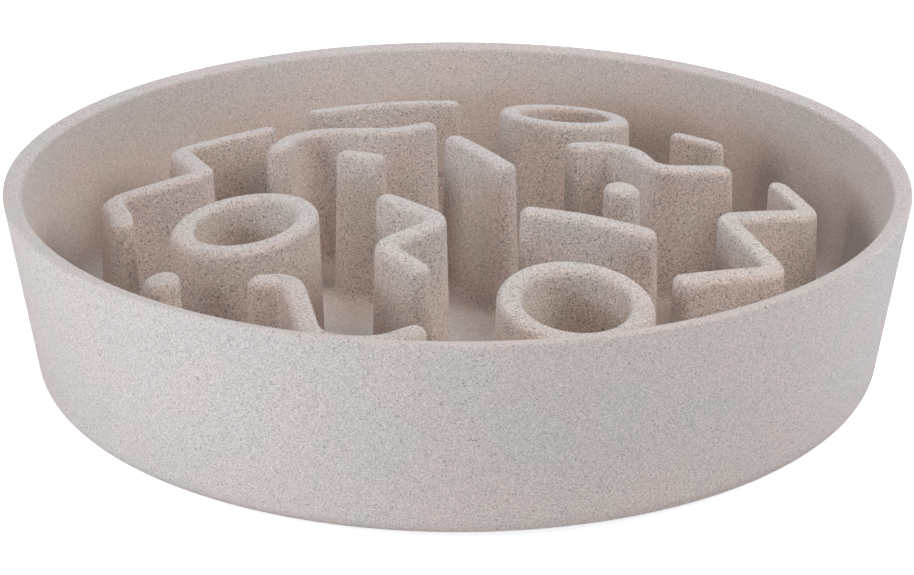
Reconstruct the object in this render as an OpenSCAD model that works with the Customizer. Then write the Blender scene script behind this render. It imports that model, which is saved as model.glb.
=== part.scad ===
// Slow feeder bowl: a wide, low bowl whose floor carries a maze of upright walls, rings and pegs.
// Millimetres. Z is up, the origin is on the ground at the middle of the bowl, and -Y is its front.

/* [Bowl shell] */
// Diameter over the rim
rim_d = 280; // [250:1:340]
// How far the rim reaches out past the foot of the side, all round
side_flare = 7.3; // [4:0.1:12]
// Height of the shell, from its foot ring to the rim
shell_h = 61.2; // [52:0.1:80]
// Thickness of the side wall
side_t = 5.4; // [3.5:0.1:8]
// Radius on the outer edge of the rim
rim_out_r = 1; // [0.6:0.1:2.4]
// Radius on the inner edge of the rim
rim_in_r = 1.4; // [0.6:0.1:2.4]
// How much lower the rim is at its inner edge than at its outer one
rim_fall = 1.1; // [0:0.1:2]
// Radius of the outer edge between side and foot ring
foot_edge_r = 7.3; // [3:0.1:10]
// Radius of the inner corner between side and floor
floor_corner_r = 8; // [3:0.1:9]
// Height of the inner floor above the foot ring's face
floor_rise = 10.5; // [8:0.1:14]
// Thickness of the floor over the hollow underside
floor_t = 5.5; // [4:0.1:7.5]
// Diameter of the hollow under the floor, inside the foot ring
hollow_d = 200; // [150:1:204]
// Radius of the inner corner of that hollow
hollow_corner_r = 3; // [1:0.1:4]

/* [Maze] */
// Radius of the shallow sphere on which the tops of all walls lie
crown_r = 521; // [450:1:900]
// How far the highest point of the maze stays below the rim
crown_drop = 0.9; // [0:0.1:5]
// Thickness of a maze wall just under its rounded top
wall_t = 7.2; // [6.5:0.1:9]
// Radius of the rounding along a wall's top edges
wall_round_r = 2.3; // [1:0.1:3.2]
// Radius of the fillet where a wall meets the floor
wall_foot_r = 2.5; // [1:0.1:3.5]
// Draft angle on each face of a wall
wall_draft = 1.6; // [0.5:0.1:2.5]
// Radius of a ring, measured to the middle of its wall
ring_r = 18.8; // [17:0.1:20]
// Diameter of a round peg just under its rounded top
peg_d = 11.2; // [9:0.1:13]

/* [Foot pads] */
// Number of non-slip pads
pad_count = 4; // [3:1:6]
// Diameter of a pad
pad_d = 18; // [10:0.5:20]
// Thickness of a pad
pad_t = 2; // [1.5:0.1:3]
// Depth of the pocket that a pad is bonded into
pad_pocket = 1.2; // [0.6:0.1:1.4]
// Clearance round a pad in its pocket
pad_gap = 0.2; // [0.1:0.05:0.5]
// Radius on the lower edge of a pad
pad_edge_r = 0.4; // [0.2:0.1:0.6]

/* [Hidden] */

fibre_colour = [0.80, 0.76, 0.72];
pad_colour = [0.30, 0.29, 0.28];

// Overrun of a cut past the face that it opens
cut = 1;
// Smallest radius left on the inside of a wall's corner
inner_corner_r = 0.4;
// Longest step along a wall's straight run
run_step = 14;
// Steps round a corner, round half an end, up a foot fillet, over a top edge and round a ring
corner_steps = 4;
end_steps = 6;
foot_steps = 2;
round_steps = 3;
ring_steps = 36;
round_fn = 96;

rim_r = rim_d / 2;
foot_r = rim_r - side_flare;
// Radius that the plan of the maze follows: the inside of the side at its foot
floor_r = foot_r - side_t;
// From the middle of the foot's edge radius to the middle of the rim's outer one
edge_run = side_flare - rim_out_r + foot_edge_r;
edge_rise = shell_h - rim_out_r - foot_edge_r;
side_lean = acos((foot_edge_r - rim_out_r) / norm([edge_run, edge_rise])) - atan2(edge_rise, edge_run);
stand = pad_t - pad_pocket;
floor_z = stand + floor_rise;
hollow_r = hollow_d / 2;
hollow_h = floor_rise - floor_t;
pad_ring_r = (hollow_r + foot_r - foot_edge_r) / 2;
levels = foot_steps + round_steps + 2;

// Plan of the maze: each row is X, Y and corner radius, as shares of floor_r
zigzag_left_shares = [
    [-0.512, 0.522, 0],
    [-0.736, 0.403, 0.05],
    [-0.636, 0.134, 0.033],
    [-0.867, 0.038, 0.05],
    [-0.820, -0.090, 0.1],
    [-0.808, -0.150, 0]
];
zigzag_centre_shares = [
    [-0.166, -0.177, 0],
    [-0.030, -0.310, 0.05],
    [-0.175, -0.436, 0.038],
    [-0.091, -0.548, 0]
];
zigzag_right_shares = [
    [0.812, 0.126, 0],
    [0.868, -0.050, 0.055],
    [0.641, -0.179, 0.038],
    [0.741, -0.435, 0.05],
    [0.514, -0.543, 0]
];
wave_back_shares = [
    [-0.461, 0.277, 0],
    [-0.425, 0.441, 0.10],
    [-0.161, 0.372, 0.11],
    [-0.084, 0.434, 0]
];
wave_right_shares = [
    [0.306, 0.254, 0],
    [0.438, 0.306, 0.077],
    [0.495, 0.105, 0.055],
    [0.670, 0.186, 0]
];
wave_front_shares = [
    [-0.444, -0.563, 0],
    [-0.374, -0.570, 0.055],
    [-0.314, -0.829, 0.10],
    [-0.168, -0.849, 0.13],
    [-0.094, -0.811, 0]
];
bar_back_shares = [
    [-0.384, 0.747, 0],
    [-0.188, 0.823, 0.55],
    [-0.022, 0.811, 0]
];
bar_blade_shares = [
    [-0.004, 0.279, 0],
    [0.116, 0.050, 0]
];
bar_post_shares = [
    [-0.277, 0.170, 0],
    [-0.208, 0.125, 0]
];
bar_centre_shares = [
    [0.176, -0.253, 0],
    [0.309, -0.277, 0.66],
    [0.438, -0.325, 0]
];
bar_small_shares = [
    [0.596, 0.499, 0],
    [0.677, 0.455, 0]
];
// Middles of the rings and pegs, X and Y
ring_left_share = [-0.503, -0.257];
ring_back_share = [0.289, 0.634];
ring_front_share = [0.261, -0.680];
peg_right_share = [0.400, -0.069];
peg_front_share = [-0.674, -0.508];

// Outer and inner radius of the straight side at a height above the foot ring
function outer_x(y) = foot_r - foot_edge_r + foot_edge_r / cos(side_lean)
    + (y - foot_edge_r) * tan(side_lean);
function inner_x(y) = outer_x(y) - side_t / cos(side_lean);

// Height of the maze's top over a place in the plan
function crown_z(p) = stand + shell_h - crown_drop - crown_r
    + sqrt(crown_r * crown_r - p[0] * p[0] - p[1] * p[1]);

// A wall's levels run from the floor up its foot fillet, then from the start of its top
// rounding to the middle of its top. These give a level's height and half width.
function foot_angle(level) = 90 * level / foot_steps;
function round_angle(level) = 90 * (level - foot_steps - 1) / round_steps;
function level_z(p, level) = level <= foot_steps
    ? floor_z + wall_foot_r * (1 - cos(foot_angle(level)))
    : crown_z(p) - wall_round_r * (1 - sin(round_angle(level)));
function draft_w(p, z) = (crown_z(p) - wall_round_r - z) * tan(wall_draft);
function level_w(p, level) = level <= foot_steps
    ? wall_t / 2 + draft_w(p, level_z(p, level)) + wall_foot_r * (1 - sin(foot_angle(level)))
    : wall_t / 2 - wall_round_r * (1 - cos(round_angle(level)));

// Headings and turns along a path of [x, y, corner radius] rows
function left_of(angle) = [-sin(angle), cos(angle)];
function place(row) = [row[0], row[1]];
function heading(path, i) = atan2(path[i + 1][1] - path[i][1], path[i + 1][0] - path[i][0]);
function wrap(angle) = angle > 180 ? angle - 360 : angle < -180 ? angle + 360 : angle;
function turn(path, i) = wrap(heading(path, i) - heading(path, i - 1));

// Points round corner i on the left (hand 1) or right (hand -1) of a path, half width w from it.
// The inside of a tight corner keeps a small radius, and its middle moves out to suit.
function corner(path, i, hand, w) =
    let (
        bend = turn(path, i),
        sense = sign(bend),
        inside = sense == hand,
        r = inside ? max(path[i][2] - w, inner_corner_r) : path[i][2] + w,
        reach = inside ? r + w : path[i][2],
        start = heading(path, i - 1),
        middle = place(path[i]) + sense * left_of(start + bend / 2) * reach / cos(bend / 2)
    )
    [for (k = [0 : corner_steps]) middle - sense * r * left_of(start + bend * k / corner_steps)];

// One side of a path at a level: its straight runs in equal steps, with the corners between them
function run_start(path, i, hand, level) = i == 0
    ? place(path[0]) + hand * level_w(path[0], level) * left_of(heading(path, 0))
    : corner(path, i, hand, level_w(path[i], level))[corner_steps];
function run_stop(path, i, hand, level) = i == len(path) - 2
    ? place(path[i + 1]) + hand * level_w(path[i + 1], level) * left_of(heading(path, i))
    : corner(path, i + 1, hand, level_w(path[i + 1], level))[0];
function run_steps(path, i) = ceil(norm(place(path[i + 1]) - place(path[i])) / run_step);
function side(path, hand, level) = [
    for (i = [0 : len(path) - 2])
        let (
            bend = i == 0 ? [] : corner(path, i, hand, level_w(path[i], level)),
            from = run_start(path, i, hand, level),
            to = run_stop(path, i, hand, level),
            steps = run_steps(path, i)
        )
        each concat(
            [for (k = [1 : 1 : len(bend) - 2]) bend[k]],
            [for (k = [0 : steps]) from + (to - from) * k / steps]
        )
];

// Points round a path's end, between its two sides
function end_points(path, i, angle, level) = [
    for (k = [1 : end_steps - 1])
        place(path[i]) - level_w(path[i], level) * left_of(angle + 180 * k / end_steps)
];
function reversed(list) = [for (k = [len(list) - 1 : -1 : 0]) list[k]];

// The closed outline of a wall at a level, anticlockwise
function outline(path, level) = concat(
    side(path, -1, level),
    end_points(path, len(path) - 1, heading(path, len(path) - 2), level),
    reversed(side(path, 1, level)),
    end_points(path, 0, heading(path, 0) + 180, level)
);

// A maze wall that follows a path over the floor, with drafted faces, a foot fillet, rounded
// ends and a rounded top that rises and falls with the crown
module maze_wall(shares) {
    path = floor_r * shares;
    side_n = len(side(path, 1, 0));
    loop_n = 2 * side_n + 2 * (end_steps - 1);
    points = [
        for (level = [0 : levels - 1])
            for (p = outline(path, level)) [p[0], p[1], level_z(p, level)]
    ];
    skin = [
        for (level = [0 : levels - 2], j = [0 : loop_n - 1])
            let (
                a = level * loop_n + j,
                b = level * loop_n + (j + 1) % loop_n
            )
            each [[a, a + loop_n, b + loop_n], [a, b + loop_n, b]]
    ];
    left_last = side_n + end_steps - 1;
    left_first = left_last + side_n - 1;
    cap = concat(
        [
            for (j = [0 : side_n - 2])
                each [[j, j + 1, left_first - j - 1], [j, left_first - j - 1, left_first - j]]
        ],
        [for (j = [side_n : left_last - 1]) [side_n - 1, j, j + 1]],
        [for (j = [left_first + 1 : loop_n - 1]) [left_first, j, (j + 1) % loop_n]]
    );
    top = (levels - 1) * loop_n;
    lid = [for (f = cap) [top + f[2], top + f[1], top + f[0]]];
    color(fibre_colour) polyhedron(points = points, faces = concat(skin, cap, lid), convexity = 6);
}

// A ring wall round a well, with the same faces, fillet and crowned top
module maze_ring(share) {
    middle = floor_r * share;
    section_n = 2 * levels;
    points = [
        for (k = [0 : ring_steps - 1], j = [0 : section_n - 1])
            let (
                out = [cos(360 * k / ring_steps), sin(360 * k / ring_steps)],
                outside = j < levels,
                level = outside ? j : section_n - 1 - j,
                w = level_w(middle + ring_r * out, level),
                p = middle + (outside ? ring_r + w : ring_r - w) * out
            )
            [p[0], p[1], level_z(p, level)]
    ];
    skin = [
        for (k = [0 : ring_steps - 1], j = [0 : section_n - 1])
            let (
                a = k * section_n + j,
                b = k * section_n + (j + 1) % section_n,
                c = ((k + 1) % ring_steps) * section_n + j,
                d = ((k + 1) % ring_steps) * section_n + (j + 1) % section_n
            )
            each [[a, b, d], [a, d, c]]
    ];
    color(fibre_colour) polyhedron(points = points, faces = skin, convexity = 6);
}

// A round peg with a drafted face, a foot fillet and a rounded top
module maze_peg(share) {
    middle = floor_r * share;
    peg_r = peg_d / 2;
    peg_h = crown_z(middle) - floor_z;
    round_y = peg_h - wall_round_r;
    foot_x = peg_r + draft_w(middle, floor_z + wall_foot_r);
    color(fibre_colour) translate([middle[0], middle[1], floor_z])
        rotate_extrude($fn = round_fn) {
            difference() {
                polygon([
                    [0, 0],
                    [foot_x + wall_foot_r, 0],
                    [foot_x, wall_foot_r],
                    [peg_r, round_y],
                    [peg_r - wall_round_r, peg_h],
                    [0, peg_h]
                ]);
                translate([foot_x + wall_foot_r, wall_foot_r]) circle(r = wall_foot_r);
            }
            intersection() {
                translate([peg_r - wall_round_r, round_y]) circle(r = wall_round_r);
                translate([0, round_y]) square([peg_r, wall_round_r]);
            }
        }
}

// Half section of the shell, from its axis out, above the foot ring's face
module shell_section() {
    foot_x = foot_r - foot_edge_r;
    rim_out_x = rim_r - rim_out_r;
    rim_out_y = shell_h - rim_out_r;
    rim_in_y = shell_h - rim_fall - rim_in_r;
    rim_in_x = inner_x(rim_in_y) + rim_in_r / cos(side_lean);
    top_run = rim_out_x - rim_in_x;
    top_rise = rim_out_y - rim_in_y;
    top_slope = atan2(top_rise, top_run) - asin((rim_in_r - rim_out_r) / norm([top_run, top_rise]));
    square_up = [-sin(top_slope), cos(top_slope)];
    corner_y = floor_rise + floor_corner_r;
    corner_x = inner_x(corner_y) - floor_corner_r / cos(side_lean);
    square_out = [cos(side_lean), -sin(side_lean)];
    difference() {
        polygon([
            [0, hollow_h],
            [hollow_r - hollow_corner_r, hollow_h],
            [hollow_r, hollow_h - hollow_corner_r],
            [hollow_r, 0],
            [foot_x, 0],
            [foot_x, foot_edge_r] + foot_edge_r * square_out,
            [rim_out_x, rim_out_y] + rim_out_r * square_out,
            [rim_out_x, rim_out_y] + rim_out_r * square_up,
            [rim_in_x, rim_in_y] + rim_in_r * square_up,
            [rim_in_x, rim_in_y] - rim_in_r * square_out,
            [corner_x, corner_y] + floor_corner_r * square_out,
            [corner_x, floor_rise],
            [0, floor_rise]
        ]);
        translate([corner_x, corner_y]) circle(r = floor_corner_r);
        translate([hollow_r - hollow_corner_r, hollow_h - hollow_corner_r]) circle(r = hollow_corner_r);
    }
    translate([foot_x, foot_edge_r]) circle(r = foot_edge_r);
    translate([rim_out_x, rim_out_y]) circle(r = rim_out_r);
    translate([rim_in_x, rim_in_y]) circle(r = rim_in_r);
}

// Moves its children to the middle of pad i on the foot ring
module at_pad(i) {
    angle = 360 * (i - 0.5) / pad_count;
    translate(pad_ring_r * [cos(angle), sin(angle), 0]) children();
}

// The shell: floor, side and rim in one, with a blind pocket under it for each pad
module bowl_shell() {
    color(fibre_colour) difference() {
        translate([0, 0, stand]) rotate_extrude($fn = round_fn) shell_section();
        for (i = [1 : pad_count])
            at_pad(i) translate([0, 0, stand - cut])
                cylinder(d = pad_d + 2 * pad_gap, h = cut + pad_pocket, $fn = round_fn);
    }
}

module ring_left() { maze_ring(ring_left_share); }
module ring_back() { maze_ring(ring_back_share); }
module ring_front() { maze_ring(ring_front_share); }
module zigzag_left() { maze_wall(zigzag_left_shares); }
module zigzag_centre() { maze_wall(zigzag_centre_shares); }
module zigzag_right() { maze_wall(zigzag_right_shares); }
module wave_back() { maze_wall(wave_back_shares); }
module wave_right() { maze_wall(wave_right_shares); }
module wave_front() { maze_wall(wave_front_shares); }
module bar_back() { maze_wall(bar_back_shares); }
module bar_blade() { maze_wall(bar_blade_shares); }
module bar_post() { maze_wall(bar_post_shares); }
module bar_centre() { maze_wall(bar_centre_shares); }
module bar_small() { maze_wall(bar_small_shares); }
module peg_right() { maze_peg(peg_right_share); }
module peg_front() { maze_peg(peg_front_share); }

// A non-slip pad, seated against the top of its pocket
module foot_pad(i) {
    color(pad_colour) at_pad(i) rotate_extrude($fn = round_fn) {
        polygon([
            [0, 0],
            [pad_d / 2 - pad_edge_r, 0],
            [pad_d / 2, pad_edge_r],
            [pad_d / 2, pad_t],
            [0, pad_t]
        ]);
        intersection() {
            translate([pad_d / 2 - pad_edge_r, pad_edge_r]) circle(r = pad_edge_r);
            translate([pad_d / 2 - pad_edge_r, 0]) square(pad_edge_r);
        }
    }
}

bowl_shell();
ring_left();
ring_back();
ring_front();
zigzag_left();
zigzag_centre();
zigzag_right();
wave_back();
wave_right();
wave_front();
bar_back();
bar_blade();
bar_post();
bar_centre();
bar_small();
peg_right();
peg_front();
for (i = [1 : pad_count])
    foot_pad(i);
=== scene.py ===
"""Slow feeder bowl: dresses the bowl's frame with its moulded shell, maze and stage.

Lengths are in metres. The origin is on the ground at the middle of the bowl, Z is up and -Y is
the front of the bowl.
"""

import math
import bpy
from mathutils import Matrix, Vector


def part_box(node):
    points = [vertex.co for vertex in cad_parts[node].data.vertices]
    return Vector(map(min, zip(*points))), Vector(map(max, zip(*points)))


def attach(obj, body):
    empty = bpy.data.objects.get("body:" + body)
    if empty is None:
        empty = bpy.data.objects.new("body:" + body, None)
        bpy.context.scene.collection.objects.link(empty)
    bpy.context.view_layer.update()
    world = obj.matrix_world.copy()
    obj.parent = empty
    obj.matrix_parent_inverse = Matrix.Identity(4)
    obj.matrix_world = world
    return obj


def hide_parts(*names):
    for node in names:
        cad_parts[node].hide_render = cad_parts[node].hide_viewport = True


bl_info = {
    "name": "Slow feeder bowl",
    "version": (1, 0, 0),
    "blender": (4, 5, 0),
    "location": "View3D > Sidebar > Bowl",
    "description": "Models a slow feeder bowl: its shell, the maze on its floor and a studio stage",
    "category": "Add Mesh",
}

import bmesh
import bpy
from bpy.props import FloatProperty, FloatVectorProperty, PointerProperty
from mathutils import Matrix, Vector

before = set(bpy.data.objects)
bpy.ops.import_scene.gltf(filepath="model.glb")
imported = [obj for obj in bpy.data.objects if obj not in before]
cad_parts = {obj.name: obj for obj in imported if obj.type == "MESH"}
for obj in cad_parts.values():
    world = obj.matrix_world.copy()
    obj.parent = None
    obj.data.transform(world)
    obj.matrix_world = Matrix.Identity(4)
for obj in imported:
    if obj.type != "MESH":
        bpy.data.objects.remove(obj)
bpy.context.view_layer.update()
SHELL_LOW, SHELL_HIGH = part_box("bowl_shell")

MM = 0.001
DEG = math.pi / 180

# Distance within which vertices are merged, and angle from which an edge stays sharp
WELD = 1e-6
SHARP = 50 * DEG

# Steps of the turned pieces and of their arcs, and of a wall's foot, top, ends and corners
SHELL_STEPS = 256
RING_STEPS = 96
PEG_STEPS = 48
FOOT_EDGE_STEPS = 16
FLOOR_CORNER_STEPS = 12
RIM_STEPS = 10
HOLLOW_STEPS = 8
HOLLOW_EDGE_STEPS = 5
FOOT_STEPS = 5
ROUND_STEPS = 10
END_STEPS = 14
BEND_STEPS = 10

# Plan of the maze, as shares of the floor's radius: X, Y and corner radius
WALLS = {
    "zigzag_left": (
        (-0.512, 0.522, 0), (-0.736, 0.403, 0.05), (-0.636, 0.134, 0.033), (-0.867, 0.038, 0.05),
        (-0.820, -0.090, 0.1), (-0.808, -0.150, 0),
    ),
    "zigzag_centre": (
        (-0.166, -0.177, 0), (-0.030, -0.310, 0.05), (-0.175, -0.436, 0.038), (-0.091, -0.548, 0),
    ),
    "zigzag_right": (
        (0.812, 0.126, 0), (0.868, -0.050, 0.055), (0.641, -0.179, 0.038), (0.741, -0.435, 0.05),
        (0.514, -0.543, 0),
    ),
    "wave_back": (
        (-0.461, 0.277, 0), (-0.425, 0.441, 0.10), (-0.161, 0.372, 0.11), (-0.084, 0.434, 0),
    ),
    "wave_right": (
        (0.306, 0.254, 0), (0.438, 0.306, 0.077), (0.495, 0.105, 0.055), (0.670, 0.186, 0),
    ),
    "wave_front": (
        (-0.444, -0.563, 0), (-0.374, -0.570, 0.055), (-0.314, -0.829, 0.10),
        (-0.168, -0.849, 0.13), (-0.094, -0.811, 0),
    ),
    "bar_back": ((-0.384, 0.747, 0), (-0.188, 0.823, 0.55), (-0.022, 0.811, 0)),
    "bar_blade": ((-0.004, 0.279, 0), (0.116, 0.050, 0)),
    "bar_post": ((-0.277, 0.170, 0), (-0.208, 0.125, 0)),
    "bar_centre": ((0.176, -0.253, 0), (0.309, -0.277, 0.66), (0.438, -0.325, 0)),
    "bar_small": ((0.596, 0.499, 0), (0.677, 0.455, 0)),
}
RINGS = {"ring_left": (-0.503, -0.257), "ring_back": (0.289, 0.634), "ring_front": (0.261, -0.680)}
PEGS = {"peg_right": (0.400, -0.069), "peg_front": (-0.674, -0.508)}


def length(name, description, default, low=0.0):
    """A length that a user may change."""
    return FloatProperty(
        name=name, description=description, default=default, min=low, unit="LENGTH", precision=4
    )


def colour(name, description, default):
    """A colour that a user may change, in linear light."""
    return FloatVectorProperty(
        name=name, description=description, default=default, min=0, max=1, size=3, subtype="COLOR"
    )


class BowlSizes(bpy.types.PropertyGroup):
    """Sizes of the shell and of the maze on its floor."""

    rim_d: length("Rim diameter", "Diameter over the rim", SHELL_HIGH.x - SHELL_LOW.x)
    shell_h: length("Shell height", "From foot ring to rim", SHELL_HIGH.z - SHELL_LOW.z)
    stand: length("Stand", "Height of the foot ring over the ground", SHELL_LOW.z)
    side_flare: length("Side flare", "How far the rim reaches past the foot", 7.3 * MM)
    side_t: length("Side thickness", "Thickness of the side wall", 5.4 * MM)
    rim_out_r: length("Outer rim radius", "Radius on the outer edge of the rim", 1 * MM)
    rim_in_r: length("Inner rim radius", "Radius on the inner edge of the rim", 1.4 * MM)
    rim_fall: length("Rim fall", "How much lower the rim is at its inner edge", 1.1 * MM)
    foot_edge_r: length("Foot edge radius", "Radius between side and foot ring", 7.3 * MM)
    floor_corner_r: length("Floor corner radius", "Radius between side and floor", 8 * MM)
    floor_rise: length("Floor height", "Inner floor above the foot ring", 10.5 * MM)
    floor_t: length("Floor thickness", "Floor over the hollow underside", 5.5 * MM)
    hollow_d: length("Hollow diameter", "Hollow inside the foot ring", 200 * MM)
    hollow_corner_r: length("Hollow corner radius", "Inner corner of the hollow", 3 * MM)
    hollow_edge_r: length("Hollow edge radius", "Edge between hollow and foot ring", 1 * MM)
    crown_r: length("Crown radius", "Sphere on which the wall tops lie", 521 * MM)
    crown_drop: length("Crown drop", "Highest wall top below the rim", 0.9 * MM)
    wall_t: length("Wall thickness", "Maze wall under its rounded top", 7.2 * MM)
    wall_round_r: length("Wall top radius", "Rounding along a wall's top", 2.3 * MM)
    wall_foot_r: length("Wall foot radius", "Fillet between wall and floor", 2.5 * MM)
    wall_draft: FloatProperty(
        name="Wall draft", description="Lean of each wall face", default=1.6 * DEG, subtype="ANGLE"
    )
    corner_least_r: length("Least corner radius", "Inside of a tight corner", 0.4 * MM)
    ring_r: length("Ring radius", "To the middle of a ring's wall", 18.8 * MM)
    peg_d: length("Peg diameter", "Under the peg's rounded top", 11.2 * MM)
    step: length("Step", "Longest step along a straight run", 4 * MM, MM)


class BowlFinish(bpy.types.PropertyGroup):
    """Colours and surface of the moulded fibre composite and of the foot pads."""

    base: colour("Base", "Ground colour of the composite", (0.662, 0.59, 0.535))
    shade: colour("Shade", "Colour of its darker mottling", (0.648, 0.574, 0.518))
    tint: colour("Tint", "Rosy tint of its wide patches", (0.683, 0.576, 0.525))
    speck_dark: colour("Dark specks", "Fibre specks", (0.125, 0.1, 0.08))
    speck_light: colour("Light specks", "Pale grains", (0.86, 0.76, 0.695))
    grain: length("Grain", "Size of the sandy grain", 0.43 * MM, 0.1 * MM)
    shell_grain: FloatProperty(
        name="Shell grain", description="Depth of the grain on the shell", default=0.33, min=0, max=1
    )
    maze_grain: FloatProperty(
        name="Maze grain", description="Depth of the grain on the maze", default=0.49, min=0, max=1
    )
    pad: colour("Pads", "Rubber of the foot pads", (0.09, 0.085, 0.08))


class BowlStage(bpy.types.PropertyGroup):
    """Floor, lamps and camera."""

    lens: FloatProperty(name="Lens", description="Focal length", default=93.3, unit="CAMERA")
    distance: length("Distance", "Camera to the middle of the bowl", 0.763)
    elevation: FloatProperty(
        name="Elevation", description="Camera above the ground", default=23.44 * DEG, subtype="ANGLE"
    )
    world: FloatProperty(name="World", description="Strength of the even light", default=0.04)
    side: FloatProperty(name="Side lamp", description="Watts at the right", default=6.0)
    top: FloatProperty(name="Top lamp", description="Watts over the front right", default=3.5)
    back: FloatProperty(name="Back lamp", description="Watts over the back", default=6.6)
    left: FloatProperty(name="Left lamp", description="Watts at the left", default=4.2)
    low: FloatProperty(name="Low lamp", description="Watts low at the front left", default=4.35)
    right: FloatProperty(name="Right lamp", description="Watts low at the right", default=1.4)


class FeederSettings(bpy.types.PropertyGroup):
    """All settings of the bowl."""

    sizes: PointerProperty(type=BowlSizes)
    finish: PointerProperty(type=BowlFinish)
    stage: PointerProperty(type=BowlStage)


# Modelling helpers


def crown_z(s, x, y):
    """Height of the maze's top over a place in the plan."""
    apex = s.stand + s.shell_h - s.crown_drop
    return apex - s.crown_r + math.sqrt(s.crown_r**2 - x * x - y * y)


def floor_radius(s):
    """Radius that the plan of the maze follows."""
    return s.rim_d / 2 - s.side_flare - s.side_t


def verts_of(geometry):
    """Picks the vertices out of mixed geometry."""
    return [g for g in geometry if isinstance(g, bmesh.types.BMVert)]


def edges_of(geometry):
    """Picks the edges out of mixed geometry."""
    return [g for g in geometry if isinstance(g, bmesh.types.BMEdge)]


def faces_of(geometry):
    """Picks the faces out of mixed geometry."""
    return [g for g in geometry if isinstance(g, bmesh.types.BMFace)]


def left_of(way):
    """Points to the left of a way in the plan."""
    return Vector((-way.y, way.x, 0))


def draw_line(bm, point, x, z):
    """Draws a profile on from its last point to a place in the XZ plane."""
    new = bmesh.ops.extrude_vert_indiv(bm, verts=[point])["verts"][0]
    new.co = (x, 0, z)
    return new


def draw_arc(bm, point, x, z, angle, steps):
    """Draws a profile on round a middle in the XZ plane; a positive angle turns Z towards X."""
    bent = bmesh.ops.spin(
        bm, geom=[point], cent=(x, 0, z), axis=(0, 1, 0), angle=angle, steps=steps
    )
    return verts_of(bent["geom_last"])[0]


def turn_profile(bm, steps, middle=(0, 0, 0)):
    """Turns the whole profile into a closed solid round a vertical axis."""
    bmesh.ops.spin(
        bm, geom=bm.verts[:] + bm.edges[:], cent=middle, axis=(0, 0, 1), angle=2 * math.pi,
        steps=steps, use_merge=True,
    )
    bmesh.ops.remove_doubles(bm, verts=bm.verts, dist=WELD)
    bmesh.ops.recalc_face_normals(bm, faces=bm.faces)


def finish_piece(bm, name, node, material):
    """Makes a piece from a mesh, gives it its material and lets it stand for its node."""
    mesh = bpy.data.meshes.new(name)
    bm.to_mesh(mesh)
    bm.free()
    mesh.polygons.foreach_set("use_smooth", [True] * len(mesh.polygons))
    mesh.set_sharp_from_angle(angle=SHARP)
    piece = bpy.data.objects.new(name, mesh)
    bpy.context.scene.collection.objects.link(piece)
    mesh.materials.append(material)
    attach(piece, "root")
    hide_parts(node)


# Materials

# Sockets of a Mix node that blends colours
MIX_FACTOR, MIX_FIRST, MIX_SECOND, MIX_RESULT = 0, 6, 7, 2

# Sizes of the mottling, of the rosy patches and of the rubber's grain, and depth of the bumps
PATCH_SIZE = 2.4 * MM
TINT_SIZE = 20 * MM
RUBBER_GRAIN = 0.8 * MM
RUBBER_ROUGHNESS = 0.8
BUMP_DEPTH = 0.05 * MM


def node_at(tree, kind, x, y, **settings):
    """Adds a node at a place in the tree, with its own settings and the values of its sockets."""
    node = tree.nodes.new(kind)
    node.location = (x, y)
    for name, value in settings.items():
        if hasattr(node, name):
            setattr(node, name, value)
        else:
            node.inputs[name.replace("_", " ").title()].default_value = value
    return node


def specks_group():
    """Round specks of uneven size: a mask of them, and a random value for each."""
    tree = bpy.data.node_groups.get("specks")
    if tree:
        return tree
    tree = bpy.data.node_groups.new("specks", "ShaderNodeTree")
    sockets = tree.interface
    sockets.new_socket("Vector", in_out="INPUT", socket_type="NodeSocketVector")
    for name, default in (("Spacing", 1 * MM), ("Size", 0.3), ("Share", 0.5)):
        socket = sockets.new_socket(name, in_out="INPUT", socket_type="NodeSocketFloat")
        socket.default_value = default
    for name in ("Mask", "Random"):
        sockets.new_socket(name, in_out="OUTPUT", socket_type="NodeSocketFloat")
    links = tree.links
    given = node_at(tree, "NodeGroupInput", -900, 0)
    made = node_at(tree, "NodeGroupOutput", 700, 0)
    scale = node_at(tree, "ShaderNodeMath", -700, -120, operation="DIVIDE")
    scale.inputs[0].default_value = 1
    cells = node_at(tree, "ShaderNodeTexVoronoi", -500, 0)
    split = node_at(tree, "ShaderNodeSeparateColor", -300, -120)
    kept = node_at(tree, "ShaderNodeMath", -100, -120, operation="LESS_THAN")
    reach = node_at(tree, "ShaderNodeMath", -100, -300, operation="MULTIPLY")
    edge = node_at(
        tree, "ShaderNodeMapRange", 100, 60,
        interpolation_type="SMOOTHSTEP", from_min=0, to_min=1, to_max=0,
    )
    mask = node_at(tree, "ShaderNodeMath", 400, 0, operation="MULTIPLY")
    links.new(given.outputs["Spacing"], scale.inputs[1])
    links.new(given.outputs["Vector"], cells.inputs["Vector"])
    links.new(scale.outputs[0], cells.inputs["Scale"])
    links.new(cells.outputs["Color"], split.inputs[0])
    links.new(split.outputs["Red"], kept.inputs[0])
    links.new(given.outputs["Share"], kept.inputs[1])
    links.new(split.outputs["Green"], reach.inputs[0])
    links.new(given.outputs["Size"], reach.inputs[1])
    links.new(cells.outputs["Distance"], edge.inputs["Value"])
    links.new(reach.outputs[0], edge.inputs["From Max"])
    links.new(edge.outputs[0], mask.inputs[0])
    links.new(kept.outputs[0], mask.inputs[1])
    links.new(mask.outputs[0], made.inputs["Mask"])
    links.new(split.outputs["Blue"], made.inputs["Random"])
    return tree


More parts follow.
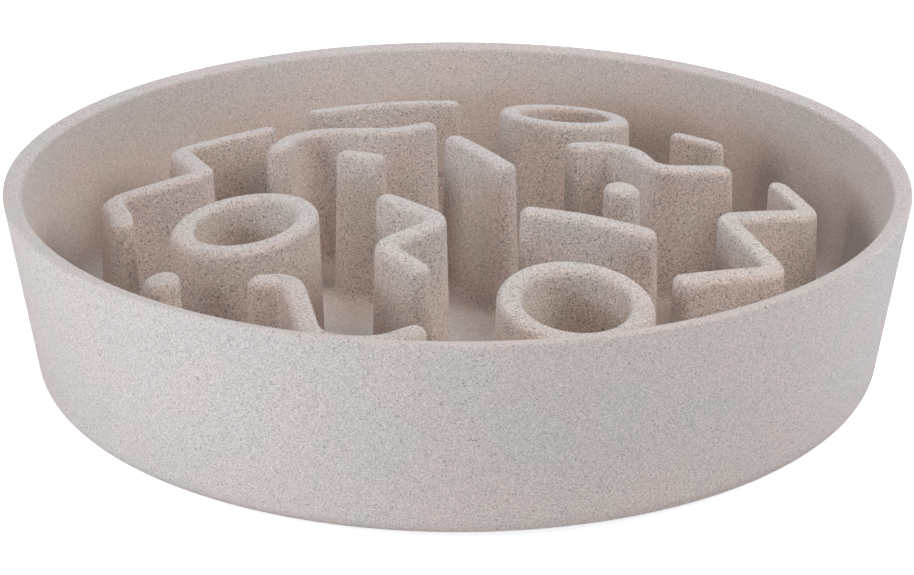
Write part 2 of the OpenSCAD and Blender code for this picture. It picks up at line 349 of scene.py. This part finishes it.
def fibre_material(finish, place):
    """Matte moulded composite: a mottled ground, sandy grain, pale grains and dark fibre specks."""
    name = place + "_fibre"
    depth = getattr(finish, place + "_grain")
    material = bpy.data.materials.get(name)
    if material:
        return material
    material = bpy.data.materials.new(name)
    material.use_nodes = True
    tree = material.node_tree
    links = tree.links
    shader = tree.nodes["Principled BSDF"]
    spot = node_at(tree, "ShaderNodeTexCoord", -1900, 0).outputs["Object"]

    def noise(x, y, size, roughness=0.5):
        made = node_at(tree, "ShaderNodeTexNoise", x, y, scale=1 / size, detail=2, roughness=roughness)
        links.new(spot, made.inputs["Vector"])
        return made.outputs["Fac"]

    def ramp(x, y, value, low, high, to_low=0.0, to_high=1.0):
        made = node_at(
            tree, "ShaderNodeMapRange", x, y,
            from_min=low, from_max=high, to_min=to_low, to_max=to_high,
        )
        links.new(value, made.inputs["Value"])
        return made.outputs[0]

    def blend(x, y, factor, first, second, blend_type="MIX"):
        made = node_at(tree, "ShaderNodeMix", x, y, data_type="RGBA", blend_type=blend_type)
        for number, value in ((MIX_FACTOR, factor), (MIX_FIRST, first), (MIX_SECOND, second)):
            socket = made.inputs[number]
            if isinstance(value, bpy.types.NodeSocket):
                links.new(value, socket)
            elif isinstance(value, float):
                socket.default_value = value
            else:
                socket.default_value = (*value, 1)
        return made.outputs[MIX_RESULT]

    def specks(x, y, spacing, size, share, strength, random):
        made = node_at(tree, "ShaderNodeGroup", x, y, node_tree=specks_group())
        links.new(spot, made.inputs["Vector"])
        made.inputs["Spacing"].default_value = spacing
        made.inputs["Size"].default_value = size
        made.inputs["Share"].default_value = share
        fade = ramp(
            x + 200, y - 160, made.outputs["Random"], low=0, high=1,
            to_low=strength * (1 - random), to_high=strength,
        )
        both = node_at(tree, "ShaderNodeMath", x + 400, y, operation="MULTIPLY")
        links.new(made.outputs["Mask"], both.inputs[0])
        links.new(fade, both.inputs[1])
        return both.outputs[0]

    patches = ramp(-1400, 500, noise(-1600, 500, PATCH_SIZE), low=0.35, high=0.65)
    colour_now = blend(-1100, 500, patches, finish.base, finish.shade)
    tints = ramp(-1400, 250, noise(-1600, 250, TINT_SIZE), low=0.4, high=0.6)
    colour_now = blend(-900, 400, tints, colour_now, finish.tint)
    sand = noise(-1600, 0, finish.grain, roughness=0.6)
    grain = ramp(-1400, 0, sand, low=0.3, high=0.7, to_low=1 - depth, to_high=1 + depth)
    colour_now = blend(-700, 300, 1.0, colour_now, grain, "MULTIPLY")
    pale = specks(-1600, -300, spacing=0.9 * MM, size=0.5, share=0.5, strength=0.4, random=0.8)
    colour_now = blend(-500, 200, pale, colour_now, finish.speck_light)
    fine = specks(-1600, -600, spacing=0.8 * MM, size=1.6 * depth, share=0.7, strength=1, random=0.6)
    colour_now = blend(-300, 100, fine, colour_now, finish.speck_dark)
    large = specks(-1600, -900, spacing=4.5 * MM, size=0.16, share=0.45, strength=0.85, random=0.5)
    colour_now = blend(-100, 0, large, colour_now, finish.speck_dark)
    links.new(colour_now, shader.inputs["Base Color"])
    rough = ramp(-700, -200, sand, low=0.3, high=0.7, to_low=0.62, to_high=0.78)
    links.new(rough, shader.inputs["Roughness"])
    bump = node_at(tree, "ShaderNodeBump", -300, -300, strength=0.25, distance=BUMP_DEPTH)
    links.new(sand, bump.inputs["Height"])
    links.new(bump.outputs[0], shader.inputs["Normal"])
    return material


def rubber_material(finish):
    """Dark matte rubber with a faint moulded grain."""
    material = bpy.data.materials.new("matte_rubber")
    material.use_nodes = True
    tree = material.node_tree
    shader = tree.nodes["Principled BSDF"]
    place = node_at(tree, "ShaderNodeTexCoord", -900, 0)
    grain = node_at(tree, "ShaderNodeTexNoise", -700, 0, scale=1 / RUBBER_GRAIN, detail=3)
    tone = node_at(tree, "ShaderNodeMix", -300, 100, data_type="RGBA")
    tone.inputs[MIX_FIRST].default_value = (*finish.pad, 1)
    tone.inputs[MIX_SECOND].default_value = (*[1.4 * part for part in finish.pad], 1)
    bump = node_at(tree, "ShaderNodeBump", -300, -200, strength=0.4, distance=BUMP_DEPTH)
    tree.links.new(place.outputs["Object"], grain.inputs["Vector"])
    tree.links.new(grain.outputs["Fac"], tone.inputs[MIX_FACTOR])
    tree.links.new(grain.outputs["Fac"], bump.inputs["Height"])
    tree.links.new(tone.outputs[MIX_RESULT], shader.inputs["Base Color"])
    tree.links.new(bump.outputs[0], shader.inputs["Normal"])
    shader.inputs["Roughness"].default_value = RUBBER_ROUGHNESS
    return material


# Operators


class BOWL_OT_shell(bpy.types.Operator):
    """Turns the shell: foot ring, side, rim and floor in one profile."""

    bl_idname = "bowl.shell"
    bl_label = "Shell"

    def execute(self, context):
        s = context.scene.feeder.sizes
        rim_r = s.rim_d / 2
        foot_x = rim_r - s.side_flare - s.foot_edge_r
        rise = s.shell_h - s.rim_out_r - s.foot_edge_r
        run = s.side_flare - s.rim_out_r + s.foot_edge_r
        lean = math.acos((s.foot_edge_r - s.rim_out_r) / math.hypot(run, rise)) - math.atan2(rise, run)
        out_x, out_z = math.cos(lean), -math.sin(lean)
        base = s.stand

        def inner_x(z):
            outer = foot_x + (s.foot_edge_r - s.side_t) / math.cos(lean)
            return outer + (z - base - s.foot_edge_r) * math.tan(lean)

        hollow_r = s.hollow_d / 2
        hollow_z = base + s.floor_rise - s.floor_t
        hollow_x = hollow_r - s.hollow_corner_r
        edge_x, edge_z = hollow_r + s.hollow_edge_r, base + s.hollow_edge_r
        corner_z = base + s.floor_rise + s.floor_corner_r
        corner_x = inner_x(corner_z) - s.floor_corner_r / math.cos(lean)
        rim_out_x = rim_r - s.rim_out_r
        rim_out_z = base + s.shell_h - s.rim_out_r
        rim_in_z = base + s.shell_h - s.rim_fall - s.rim_in_r
        rim_in_x = inner_x(rim_in_z) + s.rim_in_r / math.cos(lean)
        run, rise = rim_out_x - rim_in_x, rim_out_z - rim_in_z
        slope = math.atan2(rise, run) - math.asin((s.rim_in_r - s.rim_out_r) / math.hypot(run, rise))
        up_x, up_z = -math.sin(slope), math.cos(slope)

        bm = bmesh.new()
        p = bm.verts.new((0, 0, hollow_z))
        p = draw_line(bm, p, hollow_x, hollow_z)
        p = draw_arc(bm, p, hollow_x, hollow_z - s.hollow_corner_r, 90 * DEG, HOLLOW_STEPS)
        p = draw_line(bm, p, hollow_r, edge_z)
        p = draw_arc(bm, p, edge_x, edge_z, -90 * DEG, HOLLOW_EDGE_STEPS)
        p = draw_line(bm, p, foot_x, base)
        p = draw_arc(bm, p, foot_x, base + s.foot_edge_r, lean - 90 * DEG, FOOT_EDGE_STEPS)
        p = draw_line(bm, p, rim_out_x + s.rim_out_r * out_x, rim_out_z + s.rim_out_r * out_z)
        p = draw_arc(bm, p, rim_out_x, rim_out_z, -90 * DEG - slope - lean, RIM_STEPS)
        p = draw_line(bm, p, rim_in_x + s.rim_in_r * up_x, rim_in_z + s.rim_in_r * up_z)
        p = draw_arc(bm, p, rim_in_x, rim_in_z, lean + slope - 90 * DEG, RIM_STEPS)
        p = draw_line(bm, p, corner_x + s.floor_corner_r * out_x, corner_z + s.floor_corner_r * out_z)
        p = draw_arc(bm, p, corner_x, corner_z, 90 * DEG - lean, FLOOR_CORNER_STEPS)
        draw_line(bm, p, 0, base + s.floor_rise)
        turn_profile(bm, SHELL_STEPS)
        material = fibre_material(context.scene.feeder.finish, "shell")
        finish_piece(bm, "shell", "bowl_shell", material)
        return {"FINISHED"}


def wall_levels(s, height):
    """Half width and height of a wall's levels, from its foot to the middle of its top."""
    half = s.wall_t / 2
    draft = math.tan(s.wall_draft)
    floor = s.stand + s.floor_rise
    shoulder = height - s.wall_round_r
    levels = []
    for k in range(FOOT_STEPS + 1):
        angle = 90 * DEG * k / FOOT_STEPS
        z = floor + s.wall_foot_r * (1 - math.cos(angle))
        levels.append((half + (shoulder - z) * draft + s.wall_foot_r * (1 - math.sin(angle)), z))
    for k in range(ROUND_STEPS + 1):
        angle = 90 * DEG * k / ROUND_STEPS
        levels.append(
            (half - s.wall_round_r * (1 - math.cos(angle)), shoulder + s.wall_round_r * math.sin(angle))
        )
    return levels


def raise_to_crown(bm, s, height):
    """Lifts or lowers the rounded top of a piece, drawn at a height, to the maze's crown."""
    for vert in bm.verts:
        if vert.co.z > height - s.wall_round_r - WELD:
            vert.co.z += crown_z(s, vert.co.x, vert.co.y) - height


def draw_plan(bm, path, half, step):
    """Draws a wall's plan with a pen three points wide: round an end, along its runs and corners,
    and round its other end. Returns each inner corner's middle, apex, way out and radius."""
    spots = [Vector((x, y, 0)) for x, y, _ in path]
    ways = [(b - a).normalized() for a, b in zip(spots, spots[1:])]
    pen = [bm.verts.new(spots[0] + left_of(ways[0]) * offset) for offset in (half, 0, -half)]
    edges = [bm.edges.new(pen[:2]), bm.edges.new(pen[1:])]
    bmesh.ops.spin(
        bm, geom=pen[:2] + edges[:1], cent=spots[0], axis=(0, 0, 1), angle=math.pi, steps=END_STEPS
    )
    corners = []
    at = spots[0]
    for i, way in enumerate(ways):
        stop = spots[i + 1]
        if i + 1 < len(ways):
            bend = math.atan2(way.cross(ways[i + 1]).z, way.dot(ways[i + 1]))
            radius = path[i + 1][2]
            stop = stop - way * radius * math.tan(abs(bend) / 2)
        count = max(1, math.ceil((stop - at).length / step))
        for _ in range(count):
            grown = bmesh.ops.extrude_edge_only(bm, edges=edges)["geom"]
            bmesh.ops.translate(bm, verts=verts_of(grown), vec=(stop - at) / count)
            edges = edges_of(grown)
        if i + 1 < len(ways):
            hand = math.copysign(1, bend)
            middle = stop + left_of(way) * hand * radius
            bent = bmesh.ops.spin(
                bm, geom=verts_of(grown) + edges, cent=middle, axis=(0, 0, 1), angle=bend,
                steps=BEND_STEPS,
            )
            edges = edges_of(bent["geom_last"])
            reach = (middle - spots[i + 1]).normalized() / math.cos(bend / 2)
            corners.append((middle, spots[i + 1], reach, radius))
            at = middle - left_of(ways[i + 1]) * hand * radius
    end_left = left_of(ways[-1])
    right_edge = min(edges, key=lambda e: (e.verts[0].co + e.verts[1].co).dot(end_left))
    bmesh.ops.spin(
        bm, geom=list(right_edge.verts) + [right_edge], cent=spots[-1], axis=(0, 0, 1),
        angle=math.pi, steps=END_STEPS,
    )
    bmesh.ops.remove_doubles(bm, verts=bm.verts, dist=WELD)
    return corners


def build_wall(s, path):
    """Draws a wall's plan and raises it level by level, each as wide as the wall is there."""
    bm = bmesh.new()
    half = s.wall_t / 2
    corners = draw_plan(bm, path, half, s.step)
    spots = []
    for vert in bm.verts:
        if not vert.is_boundary:
            spots.append((vert.co.copy(), Vector(), None))
            continue
        others = [edge.other_vert(vert) for edge in vert.link_edges]
        centre = next(other.co for other in others if not other.is_boundary)
        inside = None
        for corner in corners:
            middle, _, _, radius = corner
            on_arc = abs((centre - middle).length - radius) < 10 * WELD
            if on_arc and (vert.co - middle).length < radius:
                inside = (corner, (vert.co - middle).normalized())
        spots.append((centre.copy(), (vert.co - centre).normalized(), inside))
    mark = bm.verts.layers.int.new("spot")
    for i, vert in enumerate(bm.verts):
        vert[mark] = i

    def spread(verts, width, z):
        for vert in verts:
            centre, out, inside = spots[vert[mark]]
            place = centre + out * width
            if inside and inside[0][3] - width < s.corner_least_r:
                (_, apex, reach, _), way = inside
                place = apex + reach * (s.corner_least_r + width) + way * s.corner_least_r
            vert.co = (place.x, place.y, z)

    heights = [crown_z(s, x, y) for x, y, _ in path]
    height = sum(heights) / len(heights)
    levels = wall_levels(s, height)
    spread(bm.verts, *levels[0])
    faces = bm.faces[:]
    for width, z in levels[1:]:
        grown = bmesh.ops.extrude_face_region(bm, geom=faces)["geom"]
        faces = faces_of(grown)
        spread(verts_of(grown), width, z)
    bmesh.ops.recalc_face_normals(bm, faces=bm.faces)
    raise_to_crown(bm, s, height)
    return bm


class BOWL_OT_walls(bpy.types.Operator):
    """Builds the zigzag and wave walls and the bars of the maze."""

    bl_idname = "bowl.walls"
    bl_label = "Zigzags, waves and bars"

    def execute(self, context):
        s = context.scene.feeder.sizes
        radius = floor_radius(s)
        material = fibre_material(context.scene.feeder.finish, "maze")
        for node, shares in WALLS.items():
            path = [tuple(radius * share for share in row) for row in shares]
            bm = build_wall(s, path)
            finish_piece(bm, node + "_wall", node, material)
        return {"FINISHED"}


class BOWL_OT_rings(bpy.types.Operator):
    """Turns the ring walls round the wells, with tops that follow the crown."""

    bl_idname = "bowl.rings"
    bl_label = "Rings"

    def execute(self, context):
        s = context.scene.feeder.sizes
        material = fibre_material(context.scene.feeder.finish, "maze")
        for node, share in RINGS.items():
            middle = Vector((*share, 0)) * floor_radius(s)
            height = crown_z(s, middle.x, middle.y)
            levels = wall_levels(s, height)
            across = [(s.ring_r + w, z) for w, z in levels]
            across += [(s.ring_r - w, z) for w, z in reversed(levels)]
            bm = bmesh.new()
            first = p = bm.verts.new((across[0][0], 0, across[0][1]))
            for x, z in across[1:]:
                p = draw_line(bm, p, x, z)
            bm.edges.new((p, first))
            bmesh.ops.translate(bm, verts=bm.verts, vec=middle)
            turn_profile(bm, RING_STEPS, middle)
            raise_to_crown(bm, s, height)
            finish_piece(bm, node + "_wall", node, material)
        return {"FINISHED"}


class BOWL_OT_pegs(bpy.types.Operator):
    """Turns the round pegs."""

    bl_idname = "bowl.pegs"
    bl_label = "Pegs"

    def execute(self, context):
        s = context.scene.feeder.sizes
        material = fibre_material(context.scene.feeder.finish, "maze")
        for node, share in PEGS.items():
            middle = Vector((*share, 0)) * floor_radius(s)
            height = crown_z(s, middle.x, middle.y)
            widen = s.peg_d / 2 - s.wall_t / 2
            levels = wall_levels(s, height)
            bm = bmesh.new()
            p = bm.verts.new((0, 0, levels[0][1]))
            for w, z in levels:
                p = draw_line(bm, p, w + widen, z)
            draw_line(bm, p, 0, levels[-1][1])
            bmesh.ops.translate(bm, verts=bm.verts, vec=middle)
            turn_profile(bm, PEG_STEPS, middle)
            raise_to_crown(bm, s, height)
            finish_piece(bm, node + "_post", node, material)
        return {"FINISHED"}


class BOWL_OT_pads(bpy.types.Operator):
    """Gives the foot pads their rubber."""

    bl_idname = "bowl.pads"
    bl_label = "Foot pads"

    def execute(self, context):
        material = rubber_material(context.scene.feeder.finish)
        for name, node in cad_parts.items():
            if name.startswith("foot_pad_"):
                node.data.materials.clear()
                node.data.materials.append(material)
        return {"FINISHED"}


# Stage

# Height over the middle of the ground that the lamps are aimed at, and each lamp's place, width
# and tint
LAMP_AIM = 30 * MM
LAMPS = {
    "side": ((1.0, -0.2, 0.75), 0.6, (1.0, 0.99, 0.97)),
    "top": ((0.5, -0.5, 1.0), 0.6, (1.0, 0.825, 0.73)),
    "back": ((0, 0.8, 0.9), 0.7, (0.63, 0.81, 1.0)),
    "left": ((-0.9, -0.5, 0.5), 0.5, (1.0, 0.92, 0.88)),
    "low": ((-0.7, -0.8, 0.15), 0.3, (0.59, 0.8, 1.0)),
    "right": ((0.9, -0.1, 0.12), 0.3, (0.1, 0.54, 1.0)),
}

# Floor, and the width of the camera's sensor in millimetres
WHITE = (1, 1, 1, 1)
GROUND_SIZE = 4
GROUND_COLOUR = (0.8, 0.8, 0.8, 1)
GROUND_ROUGHNESS = 0.9
GROUND_GLOW = 0.77
SENSOR_WIDTH = 36

# How far the camera is turned off the line to the middle of the bowl
CAMERA_PAN = 0.010 * DEG
CAMERA_TILT = 1.419 * DEG
CAMERA_ROLL = 0.066 * DEG


def lay_ground(scene):
    """Lays a floor that the camera sees nearly white and that keeps the bowl's shadow."""
    bm = bmesh.new()
    bmesh.ops.create_grid(bm, x_segments=1, y_segments=1, size=GROUND_SIZE)
    mesh = bpy.data.meshes.new("ground")
    bm.to_mesh(mesh)
    bm.free()
    ground = bpy.data.objects.new("ground", mesh)
    scene.collection.objects.link(ground)
    material = bpy.data.materials.new("ground")
    material.use_nodes = True
    tree = material.node_tree
    shader = tree.nodes["Principled BSDF"]
    shader.inputs["Base Color"].default_value = GROUND_COLOUR
    shader.inputs["Roughness"].default_value = GROUND_ROUGHNESS
    shader.inputs["Emission Color"].default_value = WHITE
    light_path = node_at(tree, "ShaderNodeLightPath", -500, 0)
    glow = node_at(tree, "ShaderNodeMath", -300, 0, operation="MULTIPLY")
    glow.inputs[1].default_value = GROUND_GLOW
    tree.links.new(light_path.outputs["Is Camera Ray"], glow.inputs[0])
    tree.links.new(glow.outputs[0], shader.inputs["Emission Strength"])
    mesh.materials.append(material)


def light_world(scene, strength):
    """Fills the scene with a faint even light; the camera and reflections see it white."""
    world = bpy.data.worlds.new("studio")
    scene.world = world
    world.use_nodes = True
    tree = world.node_tree
    background = tree.nodes["Background"]
    background.inputs["Color"].default_value = WHITE
    light_path = node_at(tree, "ShaderNodeLightPath", -700, 0)
    seen = node_at(tree, "ShaderNodeMath", -500, 0, operation="MAXIMUM")
    level = node_at(tree, "ShaderNodeMapRange", -300, 0, to_min=strength, to_max=1)
    tree.links.new(light_path.outputs["Is Camera Ray"], seen.inputs[0])
    tree.links.new(light_path.outputs["Is Glossy Ray"], seen.inputs[1])
    tree.links.new(seen.outputs[0], level.inputs["Value"])
    tree.links.new(level.outputs[0], background.inputs["Strength"])


def hang_lamps(scene, settings):
    """Hangs the soft lamps round the bowl."""
    for name, (place, width, tint) in LAMPS.items():
        lamp = bpy.data.lights.new(name, "AREA")
        lamp.shape = "SQUARE"
        lamp.size = width
        lamp.color = tint
        lamp.energy = getattr(settings, name)
        holder = bpy.data.objects.new(name, lamp)
        holder.location = place
        aim = Vector(place) - Vector((0, 0, LAMP_AIM))
        holder.rotation_euler = aim.to_track_quat("Z", "Y").to_euler()
        scene.collection.objects.link(holder)


def set_camera(scene, settings, stand):
    """Sets the camera in front of the bowl, looking down into it."""
    camera = bpy.data.cameras.new("camera")
    camera.sensor_width = SENSOR_WIDTH
    camera.lens = settings.lens
    camera.clip_start = 10 * MM
    eye = bpy.data.objects.new("camera", camera)
    up = settings.elevation
    place = Vector((0, -math.cos(up), math.sin(up))) * settings.distance
    place.z += stand
    pan = Matrix.Rotation(CAMERA_PAN, 4, "Z")
    pitch = Matrix.Rotation(90 * DEG - up + CAMERA_TILT, 4, "X")
    roll = Matrix.Rotation(CAMERA_ROLL, 4, "Z")
    eye.matrix_world = Matrix.Translation(place) @ pan @ pitch @ roll
    scene.collection.objects.link(eye)
    scene.camera = eye


class BOWL_OT_stage(bpy.types.Operator):
    """Sets up the floor, the lamps, the world and the camera."""

    bl_idname = "bowl.stage"
    bl_label = "Stage"

    def execute(self, context):
        scene = context.scene
        settings = scene.feeder.stage
        scene.view_settings.view_transform = "Standard"
        lay_ground(scene)
        light_world(scene, settings.world)
        hang_lamps(scene, settings)
        set_camera(scene, settings, scene.feeder.sizes.stand)
        return {"FINISHED"}


class BOWL_PT_panel(bpy.types.Panel):
    """Lists the steps that build the bowl."""

    bl_idname = "BOWL_PT_panel"
    bl_label = "Slow feeder bowl"
    bl_space_type = "VIEW_3D"
    bl_region_type = "UI"
    bl_category = "Bowl"

    def draw(self, context):
        layout = self.layout
        settings = context.scene.feeder
        for group in (settings.sizes, settings.finish, settings.stage):
            box = layout.box()
            for name in group.bl_rna.properties.keys():
                if name not in {"rna_type", "name"}:
                    box.prop(group, name)
        for step in STEPS:
            layout.operator(step.bl_idname)


GROUPS = (BowlSizes, BowlFinish, BowlStage, FeederSettings)
STEPS = (BOWL_OT_shell, BOWL_OT_walls, BOWL_OT_rings, BOWL_OT_pegs, BOWL_OT_pads, BOWL_OT_stage)
CLASSES = (*GROUPS, *STEPS, BOWL_PT_panel)


def register():
    for cls in CLASSES:
        bpy.utils.register_class(cls)
    bpy.types.Scene.feeder = PointerProperty(type=FeederSettings)


def unregister():
    del bpy.types.Scene.feeder
    for cls in reversed(CLASSES):
        bpy.utils.unregister_class(cls)


def main():
    """Builds the bowl and its stage."""
    register()
    bpy.ops.bowl.shell()
    bpy.ops.bowl.walls()
    bpy.ops.bowl.rings()
    bpy.ops.bowl.pegs()
    bpy.ops.bowl.pads()
    bpy.ops.bowl.stage()


if __name__ == "__main__":
    main()
